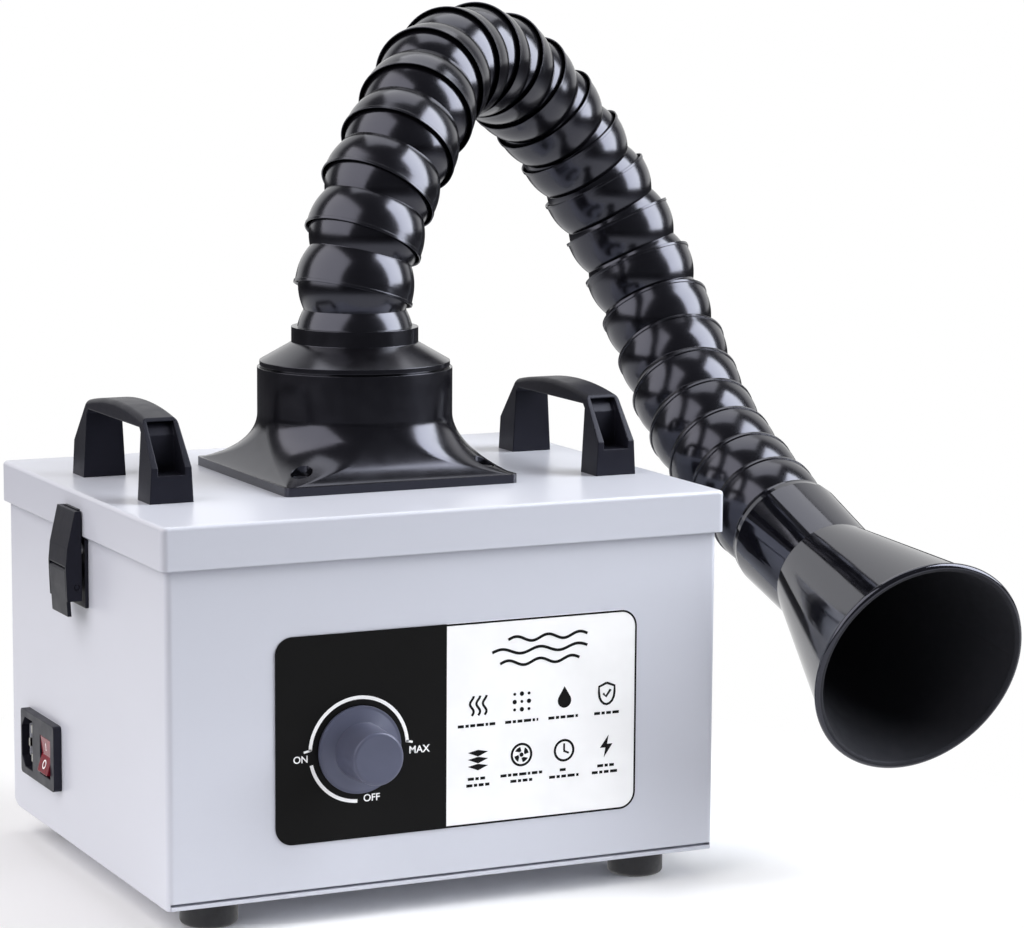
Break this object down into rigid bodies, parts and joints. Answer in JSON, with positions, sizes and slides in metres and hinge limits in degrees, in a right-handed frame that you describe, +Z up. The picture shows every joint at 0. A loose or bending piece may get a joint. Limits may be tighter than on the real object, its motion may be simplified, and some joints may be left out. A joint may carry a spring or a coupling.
{
  "type": "fume extractor",
  "caption": "Bench-top fume extractor: painted steel filter box with latched lift-off lid, carry handles, speed knob and mains inlet, and a jointed black arm with a trumpet hood.",
  "frame": {"origin": "on the bench, under the middle of the box", "axes": "+Z up; the front with the label and knob faces -Y; +X is the side that the hood hangs on"},
  "size_m": [0.4076, 0.3314, 0.4047],
  "materials": {
    "painted_steel": "satin",
    "black_rubber": "matte",
    "zinc_steel": "satin",
    "charcoal_plastic": "matte",
    "black_steel": "satin",
    "arm_plastic": "satin",
    "hood_plastic": "gloss",
    "label_black": "satin",
    "label_white": "satin",
    "knob_plastic": "satin",
    "inlet_plastic": "satin",
    "pin_brass": "polished",
    "rocker_red": "gloss",
    "deck_steel": "satin",
    "motor_steel": "satin",
    "fan_plastic": "satin",
    "filter_media": "matte"
  },
  "bodies": {
    "case": {"lower_case": "painted_steel", "base_plate": "painted_steel", "rubber_feet": "black_rubber", "foot_screws": "zinc_steel", "label_dark": "label_black", "label_light": "label_white", "speed_control": "inlet_plastic", "inlet_housing": "inlet_plastic", "inlet_pins": "pin_brass", "latch_base_left": "charcoal_plastic", "latch_base_right": "charcoal_plastic", "latch_pins": "zinc_steel", "latch_rivets": "zinc_steel", "fan_deck": "deck_steel", "fan_housing": "deck_steel", "fan_motor": "motor_steel", "filter_cartridge": "filter_media", "prefilter_pad": "filter_media"},
    "lid": {"lid": "painted_steel", "lid_gasket": "black_rubber", "handle_left": "charcoal_plastic", "handle_right": "charcoal_plastic", "handle_screws": "zinc_steel", "flange_base": "arm_plastic", "flange_screws": "black_steel", "latch_keepers": "black_steel"},
    "latch_lever_left": {"latch_lever_left": "charcoal_plastic"},
    "latch_claw_left": {"latch_claw_left": "charcoal_plastic"},
    "latch_lever_right": {"latch_lever_right": "charcoal_plastic"},
    "latch_claw_right": {"latch_claw_right": "charcoal_plastic"},
    "knob": {"knob": "knob_plastic", "control_shaft": "zinc_steel"},
    "rocker": {"rocker": "rocker_red"},
    "impeller": {"impeller": "fan_plastic"},
    "swivel_collar": {"swivel_collar": "arm_plastic"},
    "arm_link_01": {"arm_link_01": "arm_plastic"},
    "arm_link_02": {"arm_link_02": "arm_plastic"},
    "arm_link_03": {"arm_link_03": "arm_plastic"},
    "arm_link_04": {"arm_link_04": "arm_plastic"},
    "arm_link_05": {"arm_link_05": "arm_plastic"},
    "arm_link_06": {"arm_link_06": "arm_plastic"},
    "arm_link_07": {"arm_link_07": "arm_plastic"},
    "arm_link_08": {"arm_link_08": "arm_plastic"},
    "arm_link_09": {"arm_link_09": "arm_plastic"},
    "arm_link_10": {"arm_link_10": "arm_plastic"},
    "arm_link_11": {"arm_link_11": "arm_plastic"},
    "arm_link_12": {"arm_link_12": "arm_plastic"},
    "arm_link_13": {"arm_link_13": "arm_plastic"},
    "arm_link_14": {"arm_link_14": "arm_plastic"},
    "arm_link_15": {"arm_link_15": "arm_plastic"},
    "arm_link_16": {"arm_link_16": "arm_plastic"},
    "arm_link_17": {"arm_link_17": "arm_plastic"},
    "arm_link_18": {"arm_link_18": "arm_plastic"},
    "arm_link_19": {"arm_link_19": "arm_plastic"},
    "arm_link_20": {"arm_link_20": "arm_plastic"},
    "arm_link_21": {"arm_link_21": "arm_plastic"},
    "arm_link_22": {"arm_link_22": "arm_plastic"},
    "hood": {"hood": "hood_plastic"}
  },
  "joints": [
    {"name": "lid_lift", "type": "slide", "parent": "case", "child": "lid", "axis": [0, 0, 1], "range_m": [0, 0.12]},
    {"name": "latch_lever_left_turn", "type": "hinge", "parent": "case", "child": "latch_lever_left", "pos_m": [-0.14, 0.0045, 0.1465], "axis": [0, 1, 0], "range_deg": [0, 95]},
    {"name": "latch_claw_left_turn", "type": "hinge", "parent": "latch_lever_left", "child": "latch_claw_left", "pos_m": [-0.1405, 0.0045, 0.1405], "axis": [0, 1, 0], "range_deg": [-95, 0]},
    {"name": "latch_lever_right_turn", "type": "hinge", "parent": "case", "child": "latch_lever_right", "pos_m": [0.14, 0.0045, 0.1465], "axis": [0, -1, 0], "range_deg": [0, 95]},
    {"name": "latch_claw_right_turn", "type": "hinge", "parent": "latch_lever_right", "child": "latch_claw_right", "pos_m": [0.1405, 0.0045, 0.1405], "axis": [0, -1, 0], "range_deg": [-95, 0]},
    {"name": "knob_turn", "type": "hinge", "parent": "case", "child": "knob", "pos_m": [-0.0451, -0.1115, 0.0778], "axis": [0, 1, 0], "range_deg": [0, 270]},
    {"name": "rocker_tilt", "type": "hinge", "parent": "case", "child": "rocker", "pos_m": [-0.132, 0.0469, 0.0497], "axis": [0, -1, 0], "range_deg": [0, 12]},
    {"name": "impeller_spin", "type": "hinge", "parent": "case", "child": "impeller", "pos_m": [0, 0, 0.0165], "axis": [0, 0, 1], "continuous": true},
    {"name": "collar_swivel", "type": "hinge", "parent": "lid", "child": "swivel_collar", "pos_m": [0.0022, 0.0045, 0.1831], "axis": [0, 0, 1], "continuous": true},
    {"name": "hood_tilt", "type": "hinge", "parent": "arm_link_22", "child": "hood", "pos_m": [0.21203, -0.04629, 0.14679], "axis": [0.9656, -0.1079, 0.2366], "range_deg": [-10, 10]},
    {"name": "arm_link_01_tilt", "type": "hinge", "parent": "swivel_collar", "child": "arm_link_01", "pos_m": [0.0022, 0.0045, 0.273], "axis": [-0.3584, 0.9336, 0], "range_deg": [-10, 0.5]},
    {"name": "arm_link_02_tilt", "type": "hinge", "parent": "arm_link_01", "child": "arm_link_02", "pos_m": [0.00873, 0.00701, 0.29662], "axis": [0.7318, 0.5092, -0.453], "range_deg": [-10, 10]},
    {"name": "arm_link_03_tilt", "type": "hinge", "parent": "arm_link_02", "child": "arm_link_03", "pos_m": [0.01884, 0.01197, 0.31852], "axis": [0.5441, -0.8368, -0.0616], "range_deg": [-5, 10]},
    {"name": "arm_link_04_tilt", "type": "hinge", "parent": "arm_link_03", "child": "arm_link_04", "pos_m": [0.03217, 0.0192, 0.33793], "axis": [-0.1276, -0.7574, 0.6404], "range_deg": [-8, 8]},
    {"name": "arm_link_05_tilt", "type": "hinge", "parent": "arm_link_04", "child": "arm_link_05", "pos_m": [0.04649, 0.03068, 0.35435], "axis": [-0.8034, 0.4575, 0.381], "range_deg": [-10, 3.5]},
    {"name": "arm_link_06_tilt", "type": "hinge", "parent": "arm_link_05", "child": "arm_link_06", "pos_m": [0.06116, 0.04586, 0.36704], "axis": [0.3804, 0.0037, -0.9248], "range_deg": [-7, 7]},
    {"name": "arm_link_07_tilt", "type": "hinge", "parent": "arm_link_06", "child": "arm_link_07", "pos_m": [0.07869, 0.06156, 0.37431], "axis": [0.5905, -0.7706, 0.2398], "range_deg": [-1.5, 10]},
    {"name": "arm_link_08_tilt", "type": "hinge", "parent": "arm_link_07", "child": "arm_link_08", "pos_m": [0.09799, 0.07679, 0.37572], "axis": [0.0076, 0.3025, 0.9531], "range_deg": [-7, 7]},
    {"name": "arm_link_09_tilt", "type": "hinge", "parent": "arm_link_08", "child": "arm_link_09", "pos_m": [0.11787, 0.09061, 0.37118], "axis": [-0.5905, 0.7706, -0.2398], "range_deg": [-10, 1.5]},
    {"name": "arm_link_10_tilt", "type": "hinge", "parent": "arm_link_09", "child": "arm_link_10", "pos_m": [0.13708, 0.10215, 0.36096], "axis": [-0.2327, -0.698, -0.6772], "range_deg": [-9, 9]},
    {"name": "arm_link_11_tilt", "type": "hinge", "parent": "arm_link_10", "child": "arm_link_11", "pos_m": [0.15547, 0.10999, 0.34657], "axis": [0.6232, -0.6416, 0.4472], "range_deg": [-2.5, 10]},
    {"name": "arm_link_12_tilt", "type": "hinge", "parent": "arm_link_11", "child": "arm_link_12", "pos_m": [0.17207, 0.1137, 0.32876], "axis": [0.5398, 0.7667, 0.3476], "range_deg": [-9, 9]},
    {"name": "arm_link_13_tilt", "type": "hinge", "parent": "arm_link_12", "child": "arm_link_13", "pos_m": [0.18601, 0.11309, 0.30846], "axis": [-0.6151, 0.6529, -0.4419], "range_deg": [-10, 6]},
    {"name": "arm_link_14_tilt", "type": "hinge", "parent": "arm_link_13", "child": "arm_link_14", "pos_m": [0.19739, 0.10926, 0.28696], "axis": [-0.7091, -0.7032, -0.0519], "range_deg": [-10, 10]},
    {"name": "arm_link_15_tilt", "type": "hinge", "parent": "arm_link_14", "child": "arm_link_15", "pos_m": [0.20588, 0.10233, 0.2649], "axis": [0.6151, -0.6529, 0.4419], "range_deg": [-6, 10]},
    {"name": "arm_link_16_tilt", "type": "hinge", "parent": "arm_link_15", "child": "arm_link_16", "pos_m": [0.21121, 0.0925, 0.24295], "axis": [0.5683, 0.7061, -0.4223], "range_deg": [-8, 8]},
    {"name": "arm_link_17_tilt", "type": "hinge", "parent": "arm_link_16", "child": "arm_link_17", "pos_m": [0.21356, 0.07855, 0.22279], "axis": [-0.8173, 0.4251, -0.3891], "range_deg": [-10, 3]},
    {"name": "arm_link_18_tilt", "type": "hinge", "parent": "arm_link_17", "child": "arm_link_18", "pos_m": [0.2128, 0.06115, 0.20537], "axis": [0.1232, -0.6242, 0.7715], "range_deg": [-10, 10]},
    {"name": "arm_link_19_tilt", "type": "hinge", "parent": "arm_link_18", "child": "arm_link_19", "pos_m": [0.21236, 0.04197, 0.18993], "axis": [0.9922, 0.0637, -0.1069], "range_deg": [-9.5, 10]},
    {"name": "arm_link_20_tilt", "type": "hinge", "parent": "arm_link_19", "child": "arm_link_20", "pos_m": [0.21226, 0.02124, 0.17663], "axis": [-0.1241, 0.4417, -0.8885], "range_deg": [-10, 10]},
    {"name": "arm_link_21_tilt", "type": "hinge", "parent": "arm_link_20", "child": "arm_link_21", "pos_m": [0.21249, -0.0008, 0.16564], "axis": [-0.9656, 0.1079, -0.2366], "range_deg": [-10, 10]},
    {"name": "arm_link_22_tilt", "type": "hinge", "parent": "arm_link_21", "child": "arm_link_22", "pos_m": [0.21242, -0.02333, 0.15568], "axis": [-0.2596, -0.345, 0.902], "range_deg": [-10, 10]}
  ],
  "couplings": [
    {"joint": "latch_claw_left_turn", "follows": "latch_lever_left_turn", "ratio": -1},
    {"joint": "latch_claw_right_turn", "follows": "latch_lever_right_turn", "ratio": -1}
  ]
}
